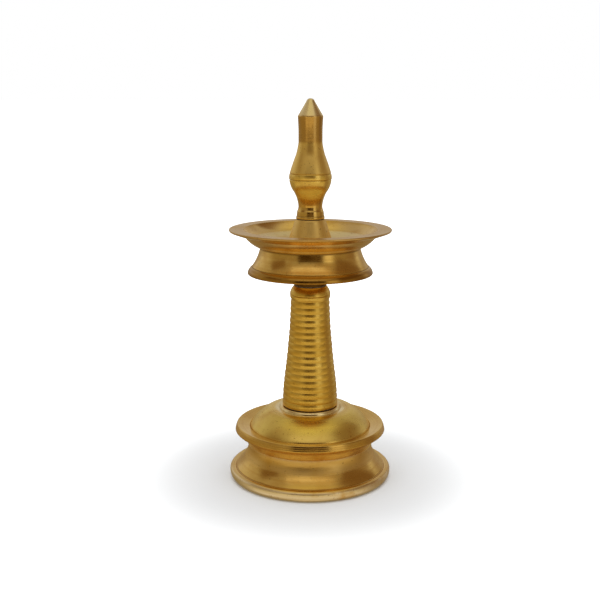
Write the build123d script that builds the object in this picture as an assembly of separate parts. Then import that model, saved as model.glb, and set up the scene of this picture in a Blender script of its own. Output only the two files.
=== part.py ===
from build123d import *
import math
import os

# A brass standing oil lamp, in millimetres, with +Z up. The origin is the middle of the plane that it stands on.
# Foot, stem, oil dish and finial are turned castings on one axis. Each of the upper three has a threaded stud
# fixed in its underside, screws into the piece below it with a right-hand thread, and closes on a thin washer.

# The stack, from the floor up
overall_height = 254.0
foot_height = 49.2
stem_height = 82.1
dish_height = 43.7
washer_thickness = 0.6
stem_base = foot_height + washer_thickness
stem_top = stem_base + stem_height
dish_base = stem_top + washer_thickness
boss_top = dish_base + dish_height
finial_base = boss_top + washer_thickness

# Screw threads
thread_pitch = 3.0
thread_depth = 1.1
thread_crest = 0.28 * thread_pitch
thread_root = 0.22 * thread_pitch
thread_gap = 0.18
stem_stud_radius = 7.0
dish_stud_radius = 6.0
finial_stud_radius = 4.5
stem_turns = 5
dish_turns = 4
finial_turns = 4
shank_length = 13.0
shank_step = 0.2
hole_runout = 1.6
plain_step = 0.1
lead_in_length = 0.8
relief_length = 1.2
point_length = 1.0
point_chamfer = 0.5

# Foot
wall = 3.0
rest_inner_radius = 48.2
rest_outer_radius = 51.6
rim_radius = 54.8
rim_height = 4.6
rim_groove_radius = 50.3
rim_groove_height = 7.2
waist_low_radius = 43.1
waist_low_height = 17.5
waist_radius = 42.8
waist_height = 24.2
flange_radius = 50.5
flange_base = 31.5
flange_top_radius = 49.3
flange_height = 37.0
dome_radius = 40.8
dome_foot_height = 35.3
dome_shoulder_radius = 28.7
dome_shoulder_height = 47.0
seat_radius = 20.0
seat_step = 1.8
foot_boss_radius = 12.0
foot_boss_base = 29.5

# Stem: the crest radius of its beads at five heights
bead_count = 18
beads_top = 122.5
bead_depth = 0.38
stem_taper = [(stem_base, 18.8), (63.0, 18.2), (83.2, 15.75), (103.6, 13.85), (beads_top, 13.0)]
collar_radius = 13.6
collar_groove_height = 126.0
stem_top_radius = 10.95
stem_core_radii = (10.0, 7.2)

# Oil dish
neck_radius = 11.0
neck_fillet = 2.5
skirt_edge_radius = 41.6
skirt_edge_height = 140.8
skirt_base = 139.9
skirt_groove_radius = 38.9
skirt_groove_height = 145.0
dish_waist_radius = 33.2
dish_waist_height = 157.6
bowl_radius = 43.6
bowl_height = 165.2
lip_radius = 53.7
lip_height = 169.4
lip_thickness = 1.5
pan_radius = 44.6
pan_floor_radius = 29.2
pan_floor_height = 159.4
pan_underside = 155.6
boss_radius = 9.8
boss_foot_radius = 14.9

# Finial
finial_ring_radius = 9.3
finial_ring_height = 1.2
finial_cone_radius = 8.75
finial_cone_height = 181.5
finial_waist_radius = 7.85
finial_waist_height = 184.8
ogee_radius = 10.65
ogee_height = 194.0
bulb_radius = 13.75
bulb_bead_radius = 13.95
bulb_bead_low = 202.2
bulb_bead_high = 206.0
shoulder_radius = 9.55
shoulder_height = 218.0
neck_low_height = 226.0
neck_high_height = 233.2
finial_neck_radius = 7.82
spire_radius = 8.3
spire_height = 242.8
tip_radius = 2.25
tip_height = 0.9
tip_flat = 0.5

# Fine turned grooves
groove_depth = 0.35
groove_width = 0.7


def turned(*points):
    """Turn a closed half section about Z. A point is (radius, height), and the edge that leads to it is straight.
    A third number makes that edge an arc, which swells by so much to its right, or hollows where it is negative."""
    edges = []
    for start, end in zip(points[-1:] + points[:-1], points):
        if len(end) == 3:
            edges.append(SagittaArc(start[:2], end[:2], -end[2]))
        else:
            edges.append(Line(start[:2], end[:2]))
    return revolve(make_face(Plane.XZ * Wire(edges)), Axis.Z)


def at_angle(radius, angle):
    return Vector(radius * math.cos(angle), radius * math.sin(angle), 0)


def flank(start_radius, start_angle, end_radius, end_angle):
    """One side of the thread in a level cut: the radius changes evenly with the angle."""
    steps = [0, 0.25, 0.5, 0.75, 1]
    points = []
    for step in steps:
        radius = start_radius + step * (end_radius - start_radius)
        points.append(at_angle(radius, start_angle + step * (end_angle - start_angle)))
    return Spline(*points)


def thread(radius, low, high, gap=0.0):
    """A right-hand threaded rod. Its turn depends on height alone, so that a rod and its hole always match."""
    crest = radius + gap
    root = radius - thread_depth + gap
    crest_angle = math.pi * (thread_crest + gap) / thread_pitch
    root_angle = math.pi * (thread_root - gap) / thread_pitch
    level_cut = Wire([
        ThreePointArc(at_angle(crest, -crest_angle), at_angle(crest, 0), at_angle(crest, crest_angle)),
        flank(crest, crest_angle, root, math.pi - root_angle),
        ThreePointArc(
            at_angle(root, math.pi - root_angle), at_angle(root, math.pi), at_angle(root, math.pi + root_angle)
        ),
        flank(root, math.pi + root_angle, crest, 2 * math.pi - crest_angle),
    ])
    length = high - low
    rod = Solid.extrude_linear_with_rotation(
        Face(level_cut), Vector(0, 0, 0), Vector(0, 0, length), 360 * length / thread_pitch
    )
    return Pos(0, 0, low) * Rot(0, 0, 360 * low / thread_pitch) * rod


def tapped_hole(radius, mouth, turns):
    """The space of a tapped hole: a plain lead-in at its mouth, the thread, and a plain relief past the stud's end."""
    plain_radius = radius + thread_gap + plain_step
    bottom = mouth - turns * thread_pitch - hole_runout
    relief = turned(
        (0, bottom),
        (plain_radius, bottom),
        (plain_radius, bottom + relief_length),
        (0, bottom + relief_length),
    )
    lead_in = turned(
        (0, mouth - lead_in_length),
        (plain_radius, mouth - lead_in_length),
        (plain_radius, mouth + 1),
        (0, mouth + 1),
    )
    return thread(radius, bottom + relief_length, mouth - lead_in_length, thread_gap) + relief + lead_in


def stud(radius, mouth, turns):
    """A stud that enters the hole below by so many turns. Its plain shank is fixed in the piece above, and a plain
    dog point leads the thread into the hole."""
    tip = mouth - turns * thread_pitch
    thread_start = tip + point_length
    shank_start = mouth + washer_thickness / 2
    shank_end = mouth + washer_thickness + shank_length
    point_radius = radius - thread_depth - plain_step
    point = turned(
        (0, tip),
        (point_radius - point_chamfer, tip),
        (point_radius, tip + point_chamfer),
        (point_radius, thread_start),
        (0, thread_start),
    )
    shank_radius = radius + shank_step
    shank = turned(
        (0, shank_start),
        (shank_radius, shank_start),
        (shank_radius, shank_end - thread_depth),
        (shank_radius - thread_depth, shank_end),
        (0, shank_end),
    )
    return thread(radius, thread_start, shank_start) + point + shank


def shank_hole(radius, mouth):
    return Pos(0, 0, mouth + shank_length / 2) * Cylinder(radius + shank_step, shank_length)


def washer(inner_radius, outer_radius, base):
    """A flat ring with its outer edge rounded."""
    top = base + washer_thickness
    return turned(
        (inner_radius, base),
        (outer_radius, base),
        (outer_radius, top, washer_thickness / 4),
        (inner_radius, top),
    )


def foot():
    """A domed casting with a flange, a waist and a flared skirt, hollow below around a tapped boss."""
    dome_crown = foot_height - seat_step
    body = turned(
        (rest_inner_radius, 0),
        (rest_outer_radius, 0),
        (rim_radius, rim_height, 0.9),
        (rim_groove_radius + groove_depth, rim_groove_height - groove_width / 2, 1.7),
        (rim_groove_radius - groove_depth, rim_groove_height),
        (rim_groove_radius - groove_depth / 2, rim_groove_height + groove_width / 2),
        (waist_low_radius, waist_low_height, -0.55),
        (waist_radius, waist_height, -0.7),
        (flange_radius - 0.9, flange_base, -0.8),
        (flange_radius, flange_base + 0.8),
        (flange_top_radius, flange_height, 1.0),
        (dome_radius + groove_width / 2, dome_foot_height, 0.1),
        (dome_radius, dome_foot_height - 2 * groove_depth),
        (dome_radius - groove_width / 2, dome_foot_height + groove_depth),
        (dome_shoulder_radius, dome_shoulder_height, 1.2),
        (seat_radius + 0.6, dome_crown, 0.5),
        (seat_radius, foot_height, 0.2),
        (0, foot_height),
        (0, foot_boss_base),
        (foot_boss_radius, foot_boss_base),
        (foot_boss_radius + 1, dome_crown - wall - 1),
        (seat_radius, dome_crown - wall),
        (dome_shoulder_radius - wall / 2, dome_shoulder_height - wall, -0.2),
        (dome_radius - wall, dome_foot_height - wall / 2, -0.9),
        (waist_radius - 1.4 * wall, waist_height),
        (waist_low_radius - 1.4 * wall, waist_low_height),
        (rim_groove_radius - wall, rim_groove_height - 1, 1.8),
    )
    return body - tapped_hole(stem_stud_radius, foot_height, stem_turns)


def stem_radius(height):
    """The crest radius of the beads at this height."""
    for (low, low_radius), (high, high_radius) in zip(stem_taper, stem_taper[1:]):
        if height <= high:
            return low_radius + (height - low) / (high - low) * (high_radius - low_radius)
    return stem_taper[-1][1]


def stem():
    """A tapering column of turned beads under a round collar, cored out between its two end holes."""
    bead_pitch = (beads_top - stem_base) / bead_count
    beads = []
    for bead in range(1, bead_count + 1):
        edge_height = stem_base + bead * bead_pitch
        beads.append((stem_radius(edge_height) - bead_depth, edge_height, bead_depth))
    body = turned(
        (0, stem_base),
        (stem_radius(stem_base) - bead_depth, stem_base),
        *beads,
        (stem_radius(beads_top) - bead_depth, beads_top + groove_width / 2),
        (collar_radius, collar_groove_height - groove_width / 2, 0.2),
        (collar_radius - groove_depth, collar_groove_height),
        (collar_radius, collar_groove_height + groove_width / 2),
        (stem_top_radius, stem_top, 0.5),
        (0, stem_top),
    )
    wide, narrow = stem_core_radii
    core_low = stem_base + shank_length
    core_high = stem_top - dish_turns * thread_pitch - hole_runout + thread_depth
    core = turned(
        (0, core_low - thread_depth),
        (stem_stud_radius + shank_step, core_low - thread_depth),
        (wide, core_low + wall),
        (narrow, core_high - wall),
        (dish_stud_radius - thread_depth, core_high),
        (0, core_high),
    )
    bottom_hole = shank_hole(stem_stud_radius, stem_base)
    return body - core - bottom_hole - tapped_hole(dish_stud_radius, stem_top, dish_turns)


def oil_dish():
    """A pan with a flat everted lip and a central boss, on a flared skirt. A neck below the pan meets the stem."""
    skirt_inner_radius = dish_waist_radius - wall
    body = turned(
        (0, dish_base),
        (neck_radius, dish_base),
        (neck_radius + 0.4, pan_underside - neck_fillet),
        (neck_radius + 0.4 + neck_fillet, pan_underside, -0.7),
        (skirt_inner_radius - 1, pan_underside),
        (skirt_inner_radius, pan_underside - 1, -0.3),
        (skirt_edge_radius - wall, skirt_base, 1.1),
        (skirt_edge_radius - 1, skirt_base),
        (skirt_edge_radius, skirt_edge_height, 0.3),
        (skirt_groove_radius + groove_depth, skirt_groove_height - groove_width / 2, 0.5),
        (skirt_groove_radius - groove_depth, skirt_groove_height),
        (skirt_groove_radius - groove_depth, skirt_groove_height + groove_width / 2),
        (dish_waist_radius, dish_waist_height, -0.7),
        (bowl_radius, bowl_height, 1.0),
        (lip_radius - 1, lip_height - 1),
        (lip_radius, lip_height, 0.2),
        (lip_radius - 0.6, lip_height + 0.6, 0.2),
        (pan_radius, lip_height - 1 + lip_thickness, -0.15),
        (pan_floor_radius, pan_floor_height, -1.8),
        (boss_foot_radius + 2, pan_floor_height),
        (boss_foot_radius, pan_floor_height + 1.6, -0.5),
        (boss_radius, boss_top),
        (0, boss_top),
    )
    body -= shank_hole(dish_stud_radius, dish_base)
    return body - tapped_hole(finial_stud_radius, boss_top, finial_turns)


def finial():
    """A cone foot, a bulb with a bead between two fine grooves, a slim neck and a blunt spire."""
    ring_top = finial_base + finial_ring_height
    body = turned(
        (0, finial_base),
        (finial_ring_radius, finial_base),
        (finial_ring_radius, ring_top, 0.15),
        (finial_ring_radius - groove_depth, ring_top + 0.2),
        (finial_cone_radius, finial_cone_height),
        (finial_waist_radius, finial_waist_height, -0.2),
        (ogee_radius, ogee_height, -0.5),
        (bulb_radius, bulb_bead_low - groove_width / 2, 0.6),
        (bulb_radius - groove_depth, bulb_bead_low),
        (bulb_bead_radius, bulb_bead_low + groove_width / 2),
        (bulb_radius, bulb_bead_high - groove_width / 2, 0.1),
        (bulb_radius - 1.5 * groove_depth, bulb_bead_high),
        (bulb_radius - groove_depth / 2, bulb_bead_high + groove_width / 2),
        (shoulder_radius, shoulder_height, 0.12),
        (finial_neck_radius, neck_low_height, -0.18),
        (finial_neck_radius, neck_high_height),
        (spire_radius, spire_height, -0.08),
        (tip_radius, overall_height - tip_height),
        (tip_flat, overall_height, 0.2),
        (0, overall_height),
    )
    return body - shank_hole(finial_stud_radius, finial_base)


parts = {
    "foot": foot(),
    "stem_washer": washer(stem_stud_radius + 2 * shank_step, stem_radius(stem_base) - 0.9, foot_height),
    "stem_stud": stud(stem_stud_radius, foot_height, stem_turns),
    "stem": stem(),
    "dish_washer": washer(dish_stud_radius + 2 * shank_step, stem_top_radius - 0.3, stem_top),
    "dish_stud": stud(dish_stud_radius, stem_top, dish_turns),
    "oil_dish": oil_dish(),
    "finial_washer": washer(finial_stud_radius + 2 * shank_step, finial_ring_radius - 0.3, boss_top),
    "finial_stud": stud(finial_stud_radius, boss_top, finial_turns),
    "finial": finial(),
}

os.makedirs("parts", exist_ok=True)
for name, shape in parts.items():
    shape.label = name
    export_step(shape, f"parts/{name}.step")
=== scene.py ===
import math

import bpy
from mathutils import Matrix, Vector, noise


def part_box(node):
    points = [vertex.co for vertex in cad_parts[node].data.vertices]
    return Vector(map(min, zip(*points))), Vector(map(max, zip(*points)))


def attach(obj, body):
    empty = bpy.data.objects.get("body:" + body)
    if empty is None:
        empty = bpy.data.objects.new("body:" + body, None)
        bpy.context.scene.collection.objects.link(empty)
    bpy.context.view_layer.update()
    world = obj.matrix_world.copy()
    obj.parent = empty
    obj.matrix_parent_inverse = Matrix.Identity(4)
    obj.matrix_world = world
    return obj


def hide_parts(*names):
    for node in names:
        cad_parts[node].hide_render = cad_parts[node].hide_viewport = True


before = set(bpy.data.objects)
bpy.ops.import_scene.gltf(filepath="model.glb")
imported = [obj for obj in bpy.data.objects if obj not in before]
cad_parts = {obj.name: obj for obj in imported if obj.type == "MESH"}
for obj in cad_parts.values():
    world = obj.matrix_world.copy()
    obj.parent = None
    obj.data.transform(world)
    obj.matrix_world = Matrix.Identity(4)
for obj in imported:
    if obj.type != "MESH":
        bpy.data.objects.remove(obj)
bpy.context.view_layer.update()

MM = 0.001

# How finely the castings are meshed, in millimetres and degrees
SEGMENTS = 256
LINE_STEP = 1.6
ARC_STEP = 1.2
ARC_TURN = 3.5
RINGS_PER_TURN = 12
ON_AXIS = 1e-6

# Corners that bend less than this stay sharp; hollow corners that bend more than the second angle are marked
# as grooves, which the brass colours darker
ROUNDED_BEND = 12
DARKENED_BEND = 35

# Castings are slightly uneven where they are wider than this radius
UNEVENNESS = 0.03
UNEVEN_BEYOND = 15

# The screw threads, as on the studs
PITCH = 3.0
DEPTH = 1.1
GAP = 0.18
CREST = 0.28 * PITCH
ROOT = 0.22 * PITCH
SHANK_STEP = 0.2
SHANK_LENGTH = 13.0
HOLE_RUNOUT = 1.6
RELIEF = 1.2
LEAD_IN = 0.8
MOUTH_CHAMFER = 0.15
PLAIN_STEP = 0.1
STEM_STUD = 7.0
DISH_STUD = 6.0
FINIAL_STUD = 4.5

# Heights at which the pieces meet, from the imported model, in millimetres
FOOT_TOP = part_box("foot")[1].z / MM
STEM_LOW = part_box("stem")[0].z / MM
STEM_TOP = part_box("stem")[1].z / MM
DISH_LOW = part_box("oil_dish")[0].z / MM
BOSS_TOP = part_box("oil_dish")[1].z / MM
FINIAL_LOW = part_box("finial")[0].z / MM
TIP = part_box("finial")[1].z / MM


def segment(start, end, swell):
    """Points from start to end, without the start: a line, or an arc that swells by so much to its right."""
    dr, dz = end[0] - start[0], end[1] - start[1]
    chord = math.hypot(dr, dz)
    if not swell:
        count = max(1, math.ceil(chord / LINE_STEP))
        return [(start[0] + dr * i / count, start[1] + dz * i / count) for i in range(1, count + 1)]
    along = (dr / chord, dz / chord)
    right = (along[1], -along[0])
    radius = (chord * chord / 4 + swell * swell) / (2 * swell)
    half = math.asin(chord / (2 * radius))
    count = max(4, math.ceil(abs(half) / math.radians(ARC_TURN)), math.ceil(chord / ARC_STEP))
    middle = ((start[0] + end[0]) / 2, (start[1] + end[1]) / 2)
    points = []
    for i in range(1, count + 1):
        turn = half * (2 * i / count - 1)
        out = swell - radius + radius * math.cos(turn)
        go = radius * math.sin(turn)
        points.append(tuple(middle[j] + right[j] * out + along[j] * go for j in (0, 1)))
    return points


def outline(points, edge=0.22):
    """A fine outline through the points, with rounded corners. A point is (radius, height), or (radius,
    height, swell of the run that ends there). A result is (radius, height, groove), where groove is 1 in a
    hollow corner and 0 elsewhere."""
    path, corner = [points[0][:2]], [False]
    for start, end in zip(points, points[1:]):
        run = segment(start[:2], end[:2], end[2] if len(end) > 2 else 0)
        path += run
        corner += [False] * (len(run) - 1) + [True]
    result = [(*path[0], 0.0)]
    for i in range(1, len(path) - 1):
        before, here, after = path[i - 1], path[i], path[i + 1]
        u = (here[0] - before[0], here[1] - before[1])
        v = (after[0] - here[0], after[1] - here[1])
        lu, lv = math.hypot(*u), math.hypot(*v)
        bend = math.atan2(u[0] * v[1] - u[1] * v[0], u[0] * v[0] + u[1] * v[1])
        if not corner[i] or abs(bend) < math.radians(ROUNDED_BEND):
            result.append((*here, 0.0))
            continue
        back = min(edge * (1.6 if bend > 0 else 0.7), lu * 0.45, lv * 0.45)
        a = (here[0] - u[0] / lu * back, here[1] - u[1] / lu * back)
        b = (here[0] + v[0] / lv * back, here[1] + v[1] / lv * back)
        groove = 1.0 if bend < -math.radians(DARKENED_BEND) else 0.0
        for t in (0, 0.25, 0.5, 0.75, 1):
            w0, w1, w2 = (1 - t) ** 2, 2 * t * (1 - t), t * t
            radius, height = (w0 * a[j] + w1 * here[j] + w2 * b[j] for j in (0, 1))
            result.append((radius, height, groove))
    result.append((*path[-1], 0.0))
    return result


def thread_radius(stud_radius, height, angle):
    """The radius of a tapped hole's wall at this height and angle."""
    turn = (angle - 2 * math.pi * height / PITCH) % (2 * math.pi)
    turn = min(turn, 2 * math.pi - turn)
    crest_angle = math.pi * (CREST + GAP) / PITCH
    root_angle = math.pi * (ROOT - GAP) / PITCH
    share = (turn - crest_angle) / (math.pi - root_angle - crest_angle)
    return stud_radius + GAP - DEPTH * min(max(share, 0.0), 1.0)


def lathe(name, rings, closed):
    """Turns rings about Z into one closed mesh. A ring is (radius, height, groove), or (stud radius, height,
    None) in a thread. A row of rings that isn't closed begins and ends on the axis."""
    verts, faces, grooves, starts = [], [], [], []
    for radius, height, groove in rings:
        starts.append(len(verts))
        if radius < ON_AXIS:
            verts.append((0.0, 0.0, height * MM))
            grooves.append(0.0)
            continue
        for k in range(SEGMENTS):
            angle = 2 * math.pi * k / SEGMENTS
            c, s = math.cos(angle), math.sin(angle)
            r = radius
            if groove is None:
                r = thread_radius(radius, height, angle)
            elif radius > UNEVEN_BEYOND:
                r -= UNEVENNESS * (0.5 + 0.5 * noise.noise(Vector((c * 1.7, s * 1.7, height * 0.07))))
            verts.append((r * c * MM, r * s * MM, height * MM))
            grooves.append(groove or 0.0)
    pairs = list(zip(range(len(rings)), range(1, len(rings))))
    if closed:
        pairs.append((len(rings) - 1, 0))
    for low, high in pairs:
        a, b = starts[low], starts[high]
        low_pole, high_pole = rings[low][0] < ON_AXIS, rings[high][0] < ON_AXIS
        for k in range(SEGMENTS):
            n = (k + 1) % SEGMENTS
            if low_pole:
                faces.append((a, b + n, b + k))
            elif high_pole:
                faces.append((a + k, a + n, b))
            else:
                faces.append((a + k, a + n, b + n, b + k))
    mesh = bpy.data.meshes.new(name)
    mesh.from_pydata(verts, [], faces)
    mesh.attributes.new("groove", "FLOAT", "POINT").data.foreach_set("value", grooves)
    mesh.shade_smooth()
    mesh.update()
    piece = bpy.data.objects.new(name, mesh)
    bpy.context.scene.collection.objects.link(piece)
    return piece


def tapped_hole(stud_radius, mouth, turns):
    """Rings down a tapped hole, from its chamfered mouth to the edge of its floor."""
    plain = stud_radius + GAP + PLAIN_STEP
    bottom = mouth - turns * PITCH - HOLE_RUNOUT
    top, low = mouth - LEAD_IN, bottom + RELIEF
    rings = [
        (plain + MOUTH_CHAMFER, mouth, 0.0), (plain, mouth - MOUTH_CHAMFER, 0.0), (plain, top, 0.0),
    ]
    count = math.ceil((top - low) / (PITCH / RINGS_PER_TURN))
    rings += [(stud_radius, top - (top - low) * i / count, None) for i in range(count + 1)]
    return rings + [(plain, low, 0.0), (plain, bottom, 0.0)]


def foot():
    hole = tapped_hole(STEM_STUD, FOOT_TOP, 5)
    hollow = [
        (0, 29.5), (12.0, 29.5), (13.0, 43.4), (20.0, 44.4), (27.2, 44.0, -0.2), (37.8, 33.8, -0.9),
        (38.6, 24.2), (38.9, 17.5), (47.3, 6.2, 1.8), (48.2, 0),
    ]
    skirt = [
        (51.6, 0), (54.8, 4.6, 0.9), (50.65, 6.85, 1.7), (49.95, 7.2), (50.13, 7.55), (43.1, 17.5, -0.55),
        (42.8, 24.2, -0.7), (49.6, 31.5, -0.8),
    ]
    flange = [
        (50.5, 32.3), (50.9, 32.9, 0.05), (50.67, 34.0, 0.02), (50.58, 34.07), (50.64, 34.14),
        (50.34, 35.3, 0.02), (50.25, 35.37), (50.31, 35.44), (49.85, 36.6, 0.02), (49.2, 37.0, 0.1),
    ]
    dome = [
        (41.15, 35.3, 0.1), (40.8, 34.6), (40.45, 35.65), (28.7, 47.0, 1.2), (20.6, FOOT_TOP - 1.8, 0.5),
        (20.0, FOOT_TOP - 0.4, 0.1), (19.6, FOOT_TOP, 0.1), (hole[0][0], FOOT_TOP),
    ]
    shell = outline(hollow + skirt + flange + dome)
    return lathe("foot_casting", shell[:-1] + hole + [(0, hole[-1][1], 0.0)], closed=False)


BEADS_TOP = 122.5
BEAD_COUNT = 18
BEAD_DEPTH = 0.34
STEM_TAPER = ((STEM_LOW, 18.8), (63.0, 18.2), (83.2, 15.75), (103.6, 13.85), (BEADS_TOP, 13.0))


def stem_radius(height):
    for (low, low_radius), (high, high_radius) in zip(STEM_TAPER, STEM_TAPER[1:]):
        if height <= high:
            return low_radius + (height - low) / (high - low) * (high_radius - low_radius)
    return STEM_TAPER[-1][1]


def stem():
    pitch = (BEADS_TOP - STEM_LOW) / BEAD_COUNT
    beads = []
    for i in range(1, BEAD_COUNT + 1):
        height = STEM_LOW + i * pitch
        beads.append((stem_radius(height) - BEAD_DEPTH, height, BEAD_DEPTH))
    hole = tapped_hole(DISH_STUD, STEM_TOP, 4)
    bottom = hole[-1][1]
    shank = STEM_STUD + SHANK_STEP
    outside = outline([
        (shank, STEM_LOW), (stem_radius(STEM_LOW) - BEAD_DEPTH, STEM_LOW), *beads,
        (stem_radius(BEADS_TOP) - BEAD_DEPTH, BEADS_TOP + 0.35), (13.6, 125.65, 0.2), (13.25, 126.0),
        (13.6, 126.35), (10.95, STEM_TOP, 0.5), (hole[0][0], STEM_TOP),
    ], edge=0.18)
    core = [(5.75, bottom, 0.0), (7.2, bottom - 1.9, 0.0), (10.0, 65.8, 0.0), (shank, 61.7, 0.0)]
    return lathe("stem_casting", outside[:-1] + hole + core, closed=True)


def oil_dish():
    hole = tapped_hole(FINIAL_STUD, BOSS_TOP, 4)
    shank = DISH_STUD + SHANK_STEP
    top = DISH_LOW + SHANK_LENGTH
    shell = outline([
        (0, top), (shank, top), (shank, DISH_LOW), (11.0, DISH_LOW), (11.4, 153.1), (13.9, 155.6, -0.7),
        (29.2, 155.6), (30.2, 154.6, -0.3), (38.6, 139.9, 1.1), (40.6, 139.9), (41.6, 140.8, 0.3),
        (39.25, 144.65, 0.5), (38.55, 145.0), (38.55, 145.35), (33.2, 157.6, -0.7), (43.6, 165.2, 1.0),
        (52.7, 168.4), (53.7, 169.4, 0.2), (53.1, 170.0, 0.2), (44.6, 169.9, -0.15), (29.2, 159.4, -1.8),
        (16.9, 159.4), (14.9, 161.0, -0.5), (9.8, BOSS_TOP), (hole[0][0], BOSS_TOP),
    ])
    return lathe("dish_casting", shell[:-1] + hole + [(0, hole[-1][1], 0.0)], closed=False)


def finial():
    shank = FINIAL_STUD + SHANK_STEP
    top = FINIAL_LOW + SHANK_LENGTH
    ring_top = FINIAL_LOW + 1.2
    shell = outline([
        (0, top), (shank, top), (shank, FINIAL_LOW), (9.3, FINIAL_LOW), (9.3, ring_top, 0.15),
        (9.1, ring_top + 0.2), (8.75, 181.5), (7.85, 184.8, -0.2), (10.65, 194.0, -0.5), (13.75, 201.85, 0.6),
        (13.4, 202.2), (13.95, 202.55), (13.75, 205.65, 0.1), (13.22, 206.0), (13.57, 206.35),
        (9.55, 218.0, 0.12), (7.82, 226.0, -0.18), (7.82, 233.2), (8.3, 242.8, -0.08), (2.25, TIP - 0.9),
        (0.5, TIP, 0.2), (0, TIP),
    ], edge=0.2)
    return lathe("finial_turning", shell, closed=False)


def math_node(tree, operation, first, second):
    made = tree.nodes.new("ShaderNodeMath")
    made.operation = operation
    for socket, value in zip(made.inputs, (first, second)):
        if isinstance(value, (int, float)):
            socket.default_value = value
        else:
            tree.links.new(value, socket)
    return made.outputs[0]


def noise_node(tree, vector, scale, detail=3.0, roughness=0.55):
    made = tree.nodes.new("ShaderNodeTexNoise")
    made.inputs["Scale"].default_value = scale
    made.inputs["Detail"].default_value = detail
    made.inputs["Roughness"].default_value = roughness
    tree.links.new(vector, made.inputs["Vector"])
    return made.outputs["Fac"]


def mix_node(tree, share, first, second):
    made = tree.nodes.new("ShaderNodeMix")
    made.data_type = "RGBA"
    for socket, value in ((made.inputs[0], share), (made.inputs[6], first), (made.inputs[7], second)):
        if isinstance(value, (int, float)):
            socket.default_value = value
        elif isinstance(value, tuple):
            socket.default_value = (*value, 1)
        else:
            tree.links.new(value, socket)
    return made.outputs[2]


def bump_node(tree, height, strength, distance):
    made = tree.nodes.new("ShaderNodeBump")
    made.inputs["Strength"].default_value = strength
    made.inputs["Distance"].default_value = distance
    tree.links.new(height, made.inputs["Height"])
    return made.outputs[0]


def ramp_between(tree, value, low, high, to_low=0.0, to_high=1.0):
    made = tree.nodes.new("ShaderNodeMapRange")
    made.interpolation_type = "SMOOTHSTEP"
    for key, number in (("From Min", low), ("From Max", high), ("To Min", to_low), ("To Max", to_high)):
        made.inputs[key].default_value = number
    tree.links.new(value, made.inputs["Value"])
    return made.outputs["Result"]


def blend(tree, first, first_share, second, second_share):
    first = math_node(tree, "MULTIPLY", first, first_share)
    return math_node(tree, "ADD", first, math_node(tree, "MULTIPLY", second, second_share))


def inside(tree, value, low, high, fade):
    """1 where value is between low and high, and 0 outside, with soft ends."""
    above = ramp_between(tree, value, low - fade, low + fade)
    below = ramp_between(tree, value, high - fade, high + fade, 1.0, 0.0)
    return math_node(tree, "MULTIPLY", above, below)


# How softly a zone of painted highlight and painted shade begins and ends, in metres
PAINTED_ZONE_FADE = 0.0012


def brass(name, light, deep, dark, rough, marks, painted_light_zones=(), groove_darkening=0.7):
    """Turned brass. Fine tool marks run round the axis, the polish varies in soft patches, and hollow corners
    marked as grooves and random specks are darker. A zone is ((low, high), (inner, outer), colour, added
    roughness): a band of heights and radii in metres whose colour is painted paler as painted highlight or
    darker as painted shade, and whose roughness differs."""
    material = bpy.data.materials.new(name)
    material.use_nodes = True
    tree = material.node_tree
    link = tree.links.new
    shader = tree.nodes["Principled BSDF"]
    shader.inputs["Metallic"].default_value = 1.0
    place = tree.nodes.new("ShaderNodeTexCoord").outputs["Object"]
    parts = tree.nodes.new("ShaderNodeSeparateXYZ")
    link(place, parts.inputs[0])
    flat = tree.nodes.new("ShaderNodeCombineXYZ")
    link(parts.outputs["X"], flat.inputs["X"])
    link(parts.outputs["Y"], flat.inputs["Y"])
    length = tree.nodes.new("ShaderNodeVectorMath")
    length.operation = "LENGTH"
    link(flat.outputs[0], length.inputs[0])
    lathe_place = tree.nodes.new("ShaderNodeCombineXYZ")
    link(length.outputs["Value"], lathe_place.inputs["X"])
    link(parts.outputs["Z"], lathe_place.inputs["Z"])
    turned = lathe_place.outputs[0]

    patches = noise_node(tree, place, 55, 4)
    streaks = noise_node(tree, turned, 420, 2)
    fine = noise_node(tree, turned, 2600, 2, 0.7)
    grain = noise_node(tree, place, 1900, 2, 0.6)
    specks = noise_node(tree, place, 700, 1)

    tone = blend(tree, patches, 0.6, streaks, 0.4)
    colour = mix_node(tree, ramp_between(tree, tone, 0.36, 0.64), light, deep)
    added = None
    # The zones paint highlights and shade into the colour, mottled by the patches, and add roughness
    for heights, radii, painted_colour, more in painted_light_zones:
        share = math_node(
            tree, "MULTIPLY", inside(tree, parts.outputs["Z"], *heights, PAINTED_ZONE_FADE),
            inside(tree, length.outputs["Value"], *radii, PAINTED_ZONE_FADE),
        )
        mottled_painted_light = mix_node(tree, ramp_between(tree, patches, 0.5, 0.8), painted_colour, colour)
        colour = mix_node(tree, share, colour, mottled_painted_light)
        extra = math_node(tree, "MULTIPLY", share, more)
        added = extra if added is None else math_node(tree, "ADD", added, extra)
    # Hollow corners marked as grooves, and random specks, are coloured darker and made rougher
    groove = tree.nodes.new("ShaderNodeAttribute")
    groove.attribute_name = "groove"
    dark_grooves_and_specks = math_node(tree, "MULTIPLY", groove.outputs["Fac"], groove_darkening)
    spots = ramp_between(tree, specks, 0.66, 0.74, 0.0, 0.35)
    dark_grooves_and_specks = math_node(tree, "MAXIMUM", dark_grooves_and_specks, spots)
    link(mix_node(tree, dark_grooves_and_specks, colour, dark), shader.inputs["Base Color"])

    rubbed = ramp_between(tree, blend(tree, streaks, 0.5, patches, 0.5), 0.35, 0.65, *rough)
    rubbed = math_node(tree, "ADD", rubbed, math_node(tree, "MULTIPLY", dark_grooves_and_specks, 0.25))
    if added is not None:
        rubbed = math_node(tree, "ADD", rubbed, added)
    link(rubbed, shader.inputs["Roughness"])

    height = blend(tree, fine, 0.5, streaks, 0.45)
    height = math_node(tree, "ADD", height, math_node(tree, "MULTIPLY", grain, 0.35))
    link(bump_node(tree, height, marks, 0.00012), shader.inputs["Normal"])
    return material


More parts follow.
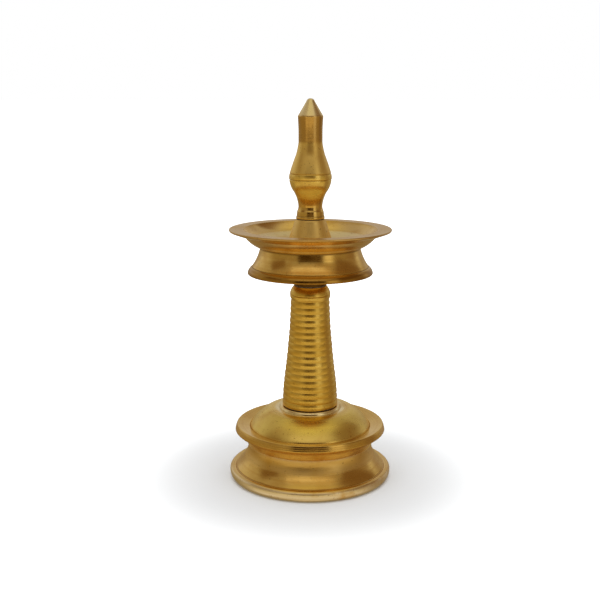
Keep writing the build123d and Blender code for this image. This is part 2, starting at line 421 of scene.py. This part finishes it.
def rubber(name):
    """Old brown-black rubber, dull and dusty."""
    material = bpy.data.materials.new(name)
    material.use_nodes = True
    tree = material.node_tree
    shader = tree.nodes["Principled BSDF"]
    place = tree.nodes.new("ShaderNodeTexCoord").outputs["Object"]
    dust = noise_node(tree, place, 600, 4)
    link = tree.links.new
    colour = mix_node(tree, ramp_between(tree, dust, 0.4, 0.7), (0.060, 0.036, 0.014), (0.11, 0.07, 0.03))
    link(colour, shader.inputs["Base Color"])
    link(ramp_between(tree, dust, 0.3, 0.7, 0.55, 0.8), shader.inputs["Roughness"])
    link(bump_node(tree, noise_node(tree, place, 2200, 3), 0.4, 0.0001), shader.inputs["Normal"])
    return material


# Colours of polished brass, and the darker colour of its grooves and specks
LIGHT = (0.84, 0.57, 0.17)
DEEP = (0.74, 0.46, 0.11)
DARK = (0.20, 0.10, 0.025)

# Painted highlights on the foot, with added roughness as listed: the dome, the seat's edge, the waist, the
# underside of the flange and the lower rim are painted paler where light is mirrored
foot_painted_light = (
    ((0.034, 0.0475), (0.022, 0.0405), (0.92, 0.70, 0.19), 0.12),
    ((0.0462, 0.0505), (0.0190, 0.0235), (1.0, 0.85, 0.50), 0.05),
    ((0.0150, 0.0240), (0.0410, 0.0470), (0.84, 0.58, 0.20), 0.20),
    ((0.0235, 0.0312), (0.0420, 0.0500), (0.98, 0.84, 0.50), 0.0),
    ((-0.001, 0.0068), (0.0506, 0.0560), (1.0, 0.88, 0.64), 0.16),
)
# Painted light and shade on the dish, with added roughness as listed: the floor of the pan, its underside and
# the boss are painted paler as painted highlights; the lip, the neck and the lower edge of the skirt are
# painted darker as painted shade, the neck as the shadow under the skirt
dish_painted_light = (
    ((0.1585, 0.1655), (0.0155, 0.0385), (1.0, 0.88, 0.60), 0.28),
    ((0.1590, 0.1688), (0.0390, 0.0530), (0.88, 0.63, 0.27), 0.0),
    ((0.1612, 0.1764), (0.0080, 0.0150), (0.94, 0.68, 0.24), 0.25),
    ((0.1690, 0.1710), (0.0440, 0.0545), (0.72, 0.50, 0.23), 0.16),
    ((0.1300, 0.1385), (-0.001, 0.0200), (0.12, 0.06, 0.015), 0.10),
    ((0.1385, 0.1448), (0.0385, 0.0425), (0.46, 0.25, 0.045), 0.0),
)
# Painted light and shade on the finial, with added roughness as listed: the point and the bulb above and
# below its fine grooves are painted paler as painted highlights, and the slim neck darker as painted shade
finial_painted_light = (
    ((0.2428, 0.2550), (-0.001, 0.010), (1.0, 0.85, 0.50), 0.08),
    ((0.2260, 0.2428), (-0.001, 0.010), (0.62, 0.39, 0.12), 0.06),
    ((0.2062, 0.2260), (-0.001, 0.015), (0.98, 0.71, 0.22), 0.20),
    ((0.1900, 0.2062), (-0.001, 0.015), (0.98, 0.72, 0.20), 0.10),
)
foot_brass = brass("foot_brass", LIGHT, DEEP, DARK, (0.13, 0.24), 0.25, foot_painted_light, groove_darkening=0.3)
dish_brass = brass("dish_brass", LIGHT, DEEP, DARK, (0.13, 0.25), 0.25, dish_painted_light)
finial_brass = brass("finial_brass", LIGHT, DEEP, DARK, (0.14, 0.24), 0.25, finial_painted_light, groove_darkening=0.45)
satin = brass(
    "satin_brass", (0.92, 0.66, 0.17), (0.82, 0.54, 0.10), (0.24, 0.13, 0.02), (0.24, 0.36), 0.45,
    groove_darkening=0.45,
)
machined = brass("stud_brass", (0.80, 0.60, 0.28), (0.70, 0.48, 0.18), (0.20, 0.12, 0.05), (0.22, 0.36), 0.5)
seal = rubber("washer_rubber")

castings = (
    (foot, "foot", "foot", foot_brass, "polished_brass"),
    (stem, "stem", "stem", satin, "satin_brass"),
    (oil_dish, "oil_dish", "oil_dish", dish_brass, "polished_brass"),
    (finial, "finial", "finial", finial_brass, "polished_brass"),
)
for make, body, cad_node, material, slot in castings:
    piece = make()
    piece.data.materials.append(material)
    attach(piece, body)
    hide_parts(cad_node)

for cad_node, material in (
    ("stem_stud", machined), ("dish_stud", machined), ("finial_stud", machined),
    ("stem_washer", seal), ("dish_washer", seal), ("finial_washer", seal),
):
    for mesh_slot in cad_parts[cad_node].material_slots:
        mesh_slot.material = material

# The floor: it glows plain white further off but not near the lamp, which paints a soft disc of shadow there,
# on top of the real soft shadow from the light above
FLOOR_HALF = 40
PAINTED_SHADOW_NEAR = 0.07
PAINTED_SHADOW_FAR = 0.22
floor_material = bpy.data.materials.new("floor")
floor_material.use_nodes = True
floor_tree = floor_material.node_tree
floor_shader = floor_tree.nodes["Principled BSDF"]
floor_shader.inputs["Base Color"].default_value = (0.66, 0.67, 0.68, 1)
floor_shader.inputs["Roughness"].default_value = 0.9
floor_shader.inputs["Specular IOR Level"].default_value = 0.0
floor_shader.inputs["Emission Color"].default_value = (1, 1, 1, 1)
away = floor_tree.nodes.new("ShaderNodeVectorMath")
away.operation = "LENGTH"
floor_tree.links.new(floor_tree.nodes.new("ShaderNodeTexCoord").outputs["Object"], away.inputs[0])
# No glow near the lamp and full glow further off: a painted shadow around the lamp
glow_beyond_painted_shadow = ramp_between(floor_tree, away.outputs["Value"], PAINTED_SHADOW_NEAR, PAINTED_SHADOW_FAR)
floor_tree.links.new(glow_beyond_painted_shadow, floor_shader.inputs["Emission Strength"])
floor_mesh = bpy.data.meshes.new("floor")
corners = [(x * FLOOR_HALF, y * FLOOR_HALF, 0) for x, y in ((-1, -1), (1, -1), (1, 1), (-1, 1))]
floor_mesh.from_pydata(corners, [], [(0, 1, 2, 3)])
floor_mesh.materials.append(floor_material)
floor = bpy.data.objects.new("floor", floor_mesh)
floor.visible_glossy = False
bpy.context.scene.collection.objects.link(floor)

# The room that the brass mirrors: pale behind, warm and dimmer in front, with lighter and darker parts. The
# camera itself sees plain white, and the floor is lit by plain grey.
world = bpy.data.worlds.new("room")
bpy.context.scene.world = world
world.use_nodes = True
tree = world.node_tree
background = tree.nodes["Background"]
way = tree.nodes.new("ShaderNodeSeparateXYZ")
tree.links.new(tree.nodes.new("ShaderNodeTexCoord").outputs["Generated"], way.inputs[0])


def sky(stops):
    """A ramp of colours by elevation in degrees, from straight down to straight up."""
    ramp = tree.nodes.new("ShaderNodeValToRGB")
    ramp.color_ramp.interpolation = "EASE"
    elements = ramp.color_ramp.elements
    while len(elements) < len(stops):
        elements.new(0.5)
    for element, (degrees, colour) in zip(elements, stops):
        element.position = 0.5 + 0.5 * math.sin(math.radians(degrees))
        element.color = (*colour, 1)
    half = math_node(tree, "MULTIPLY", way.outputs["Z"], 0.5)
    tree.links.new(math_node(tree, "ADD", half, 0.5), ramp.inputs[0])
    return ramp.outputs[0]


front = sky([
    (-90, (0.66, 0.54, 0.34)), (-68, (0.46, 0.34, 0.17)), (-48, (0.72, 0.62, 0.46)),
    (-26, (0.60, 0.48, 0.27)), (-10, (0.40, 0.29, 0.12)), (8, (0.33, 0.26, 0.14)),
    (28, (0.35, 0.29, 0.20)), (50, (0.42, 0.36, 0.28)), (75, (0.66, 0.57, 0.28)),
    (90, (0.50, 0.44, 0.24)),
])
back = sky([
    (-90, (0.20, 0.13, 0.05)), (-30, (0.26, 0.19, 0.09)), (-8, (0.36, 0.28, 0.15)),
    (0, (0.40, 0.34, 0.24)), (8, (0.60, 0.56, 0.50)), (26, (0.52, 0.48, 0.42)),
    (45, (0.42, 0.37, 0.30)), (70, (0.48, 0.42, 0.25)), (90, (0.46, 0.40, 0.22)),
])
surround = mix_node(tree, ramp_between(tree, way.outputs["Y"], -0.1, 0.5), front, back)


def panel(azimuths, elevations, blur):
    """1 inside a soft-edged patch of the room, and 0 outside. Azimuth 0 is straight in front of the lamp,
    along -Y."""
    side = math_node(tree, "ARCTAN2", way.outputs["X"], math_node(tree, "MULTIPLY", way.outputs["Y"], -1.0))
    across = inside(tree, side, *(math.radians(a) for a in azimuths), math.radians(blur))
    rises = (math.sin(math.radians(e)) for e in elevations)
    upright = inside(tree, way.outputs["Z"], *rises, math.sin(math.radians(blur)))
    return math_node(tree, "MULTIPLY", across, upright)


# Azimuths, elevations, softness and colour of the light and dark parts of the room
for azimuths, elevations, blur, colour in (
    ((-46, 40), (-13, -4), 3, (0.98, 0.80, 0.46)),
    ((-48, 48), (41, 51), 5, (0.94, 0.82, 0.68)),
    ((-29, 28), (0, 31), 2, (0.06, 0.03, 0.008)),
    ((31, 52), (-16, 30), 3, (0.88, 0.80, 0.64)),
    ((60, 126), (20, 54), 4, (0.20, 0.12, 0.06)),
    ((-96, -60), (22, 38), 3, (0.20, 0.12, 0.055)),
    ((88, 118), (-40, 20), 8, (0.26, 0.18, 0.11)),
    ((132, 150), (-30, 35), 7, (0.38, 0.32, 0.26)),
):
    surround = mix_node(tree, panel(azimuths, elevations, blur), surround, colour)
cloud = noise_node(tree, tree.nodes["Texture Coordinate"].outputs["Generated"], 3.2, 2)
surround = mix_node(tree, ramp_between(tree, cloud, 0.5, 0.72, 0.0, 0.5), surround, (0.30, 0.20, 0.10))
ray = tree.nodes.new("ShaderNodeLightPath").outputs
surround = mix_node(tree, ray["Is Diffuse Ray"], surround, (0.42, 0.42, 0.42))
tree.links.new(mix_node(tree, ray["Is Camera Ray"], surround, (1.0, 1.0, 1.0)), background.inputs["Color"])


# A large soft light straight above, which the brass doesn't mirror: it makes the shadow on the floor
overhead = bpy.data.lights.new("top", "AREA")
overhead.shape = "RECTANGLE"
overhead.size, overhead.size_y = 1.5, 1.5
overhead.energy = 22
overhead_lamp = bpy.data.objects.new("top", overhead)
overhead_lamp.location = (0.0, 0.0, 1.2)
overhead_lamp.visible_glossy = False
DOWN = Vector((0, 0, -1))
overhead_lamp.rotation_euler = DOWN.to_track_quat("-Z", "Y").to_euler()
bpy.context.scene.collection.objects.link(overhead_lamp)

# The camera, a little above the height of the finial's tip and looking down
LOOK_DOWN = 11.64
camera_data = bpy.data.cameras.new("camera")
camera_data.lens = 60.0
camera_data.sensor_width = 36.0
camera_data.dof.use_dof = False
camera = bpy.data.objects.new("camera", camera_data)
camera.location = (-0.0068, -0.6547, 0.2567)
camera.rotation_euler = (math.radians(90 - LOOK_DOWN), 0, 0)
bpy.context.scene.collection.objects.link(camera)
bpy.context.scene.camera = camera
bpy.context.scene.view_settings.view_transform = "Standard"
